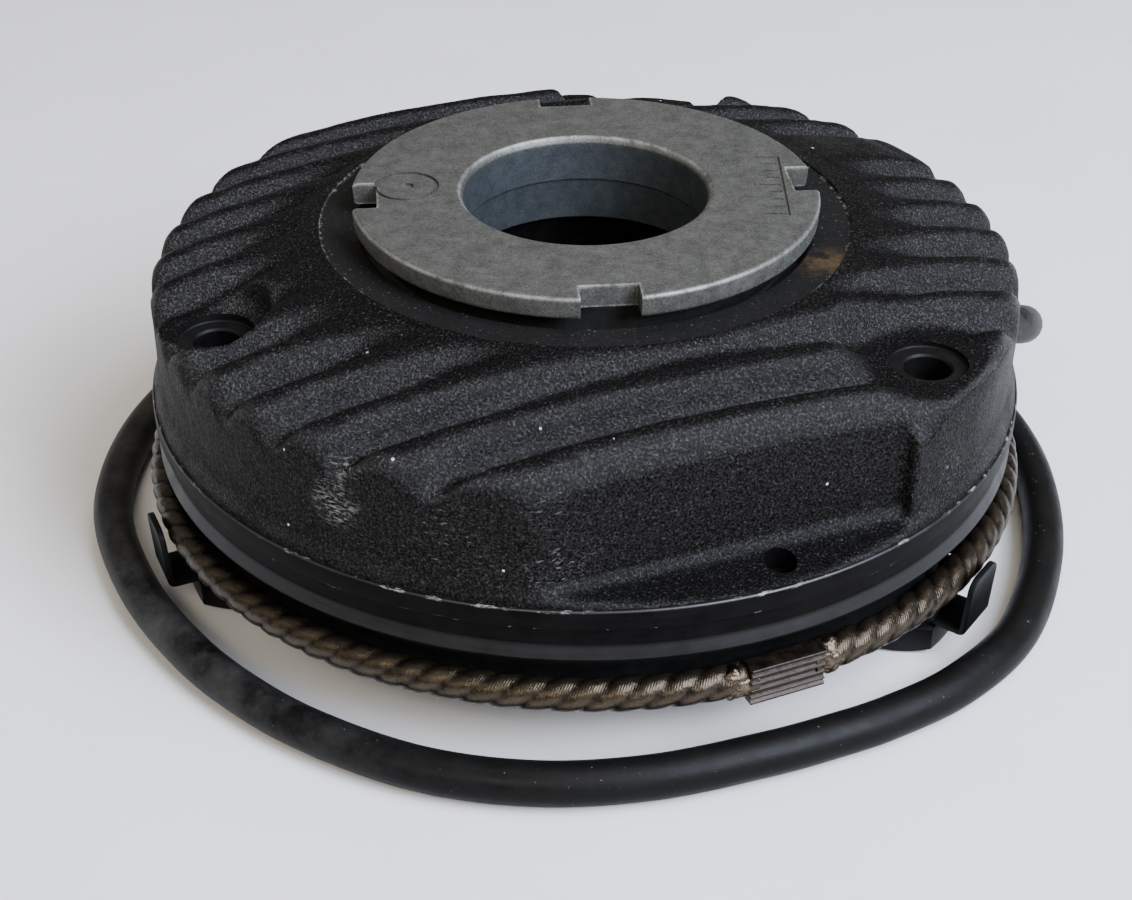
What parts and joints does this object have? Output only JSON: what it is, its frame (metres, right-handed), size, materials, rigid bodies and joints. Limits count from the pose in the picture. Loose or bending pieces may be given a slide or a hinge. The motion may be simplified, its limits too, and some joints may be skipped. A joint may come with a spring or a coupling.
{
  "type": "electromagnetic disc brake",
  "caption": "Spring-applied electromagnetic disc brake with ribbed round housing, torque nut, rotor on a toothed hub, rope ring and two-core cable.",
  "frame": {"origin": "on the brake's axis, in the plane of the end shield on which the three sleeve bolt heads stand", "axes": "+Z along the axis from the end shield to the adjusting nut, -Y towards the side the picture shows, +X towards the cable exit"},
  "size_m": [0.1525, 0.1498, 0.054],
  "materials": {
    "cast_housing": "matt black paint on a coarse sand casting",
    "zinc_nut": "grey die casting, lightly mottled",
    "bobbin": "moulded plastic",
    "winding": "enamelled copper wire",
    "potting": "cast resin",
    "dark_steel": "blackened steel, slightly oily",
    "rope": "stranded steel rope with a bronze-brown tarnish",
    "rotor": "machined",
    "lining": "pressed friction material, matt",
    "bright_steel": "turned",
    "spring_steel": "drawn wire",
    "rubber": "moulded rubber, matt",
    "sheath": "smooth black-grey sheath, dusty",
    "core_brown": "satin insulation",
    "core_blue": "satin insulation",
    "tinned": "tinned copper"
  },
  "bodies": {
    "housing": {"magnet_housing": "cast_housing", "coil_bobbin": "bobbin", "coil_winding": "winding", "potting_ring": "potting", "pressure_spring_1": "spring_steel", "pressure_spring_2": "spring_steel", "pressure_spring_3": "spring_steel", "pressure_spring_4": "spring_steel", "pressure_spring_5": "spring_steel", "pressure_spring_6": "spring_steel", "cable_grommet": "rubber", "cable": "sheath", "cable_core_1": "core_brown", "cable_core_2": "core_blue", "wire_end_sleeve_1": "tinned", "wire_end_sleeve_2": "tinned", "sleeve_bolt_1": "dark_steel", "sleeve_bolt_2": "dark_steel", "sleeve_bolt_3": "dark_steel", "lock_nut_1": "dark_steel", "lock_nut_2": "dark_steel", "lock_nut_3": "dark_steel", "retaining_clip_1": "dark_steel", "retaining_clip_2": "dark_steel", "retaining_clip_3": "dark_steel"},
    "armature": {"armature_plate": "dark_steel", "rope_ring": "rope", "rope_ferrule": "rope"},
    "hub": {"toothed_hub": "bright_steel"},
    "rotor": {"rotor_disc": "rotor", "friction_lining_lower": "lining", "friction_lining_upper": "lining"},
    "nut": {"adjusting_nut": "zinc_nut"}
  },
  "joints": [
    {"name": "armature_slide", "type": "slide", "parent": "housing", "child": "armature", "axis": [0, 0, 1], "range_m": [0, 0.0003], "stiffness_N_per_m": 6000, "springref_m": -0.004, "deforming": ["pressure_spring_1", "pressure_spring_2", "pressure_spring_3", "pressure_spring_4", "pressure_spring_5", "pressure_spring_6"]},
    {"name": "hub_spin", "type": "hinge", "parent": "housing", "child": "hub", "pos_m": [0, 0, 0.0005], "axis": [0, 0, 1], "continuous": true},
    {"name": "rotor_float", "type": "slide", "parent": "hub", "child": "rotor", "axis": [0, 0, 1], "range_m": [0, 0.00015]},
    {"name": "nut_turn", "type": "hinge", "parent": "housing", "child": "nut", "pos_m": [0, 0, 0.04], "axis": [0, 0, 1], "range_deg": [-330, 360]}
  ],
  "couplings": [
    {"joint": "rotor_float", "follows": "armature_slide", "ratio": 0.5}
  ]
}
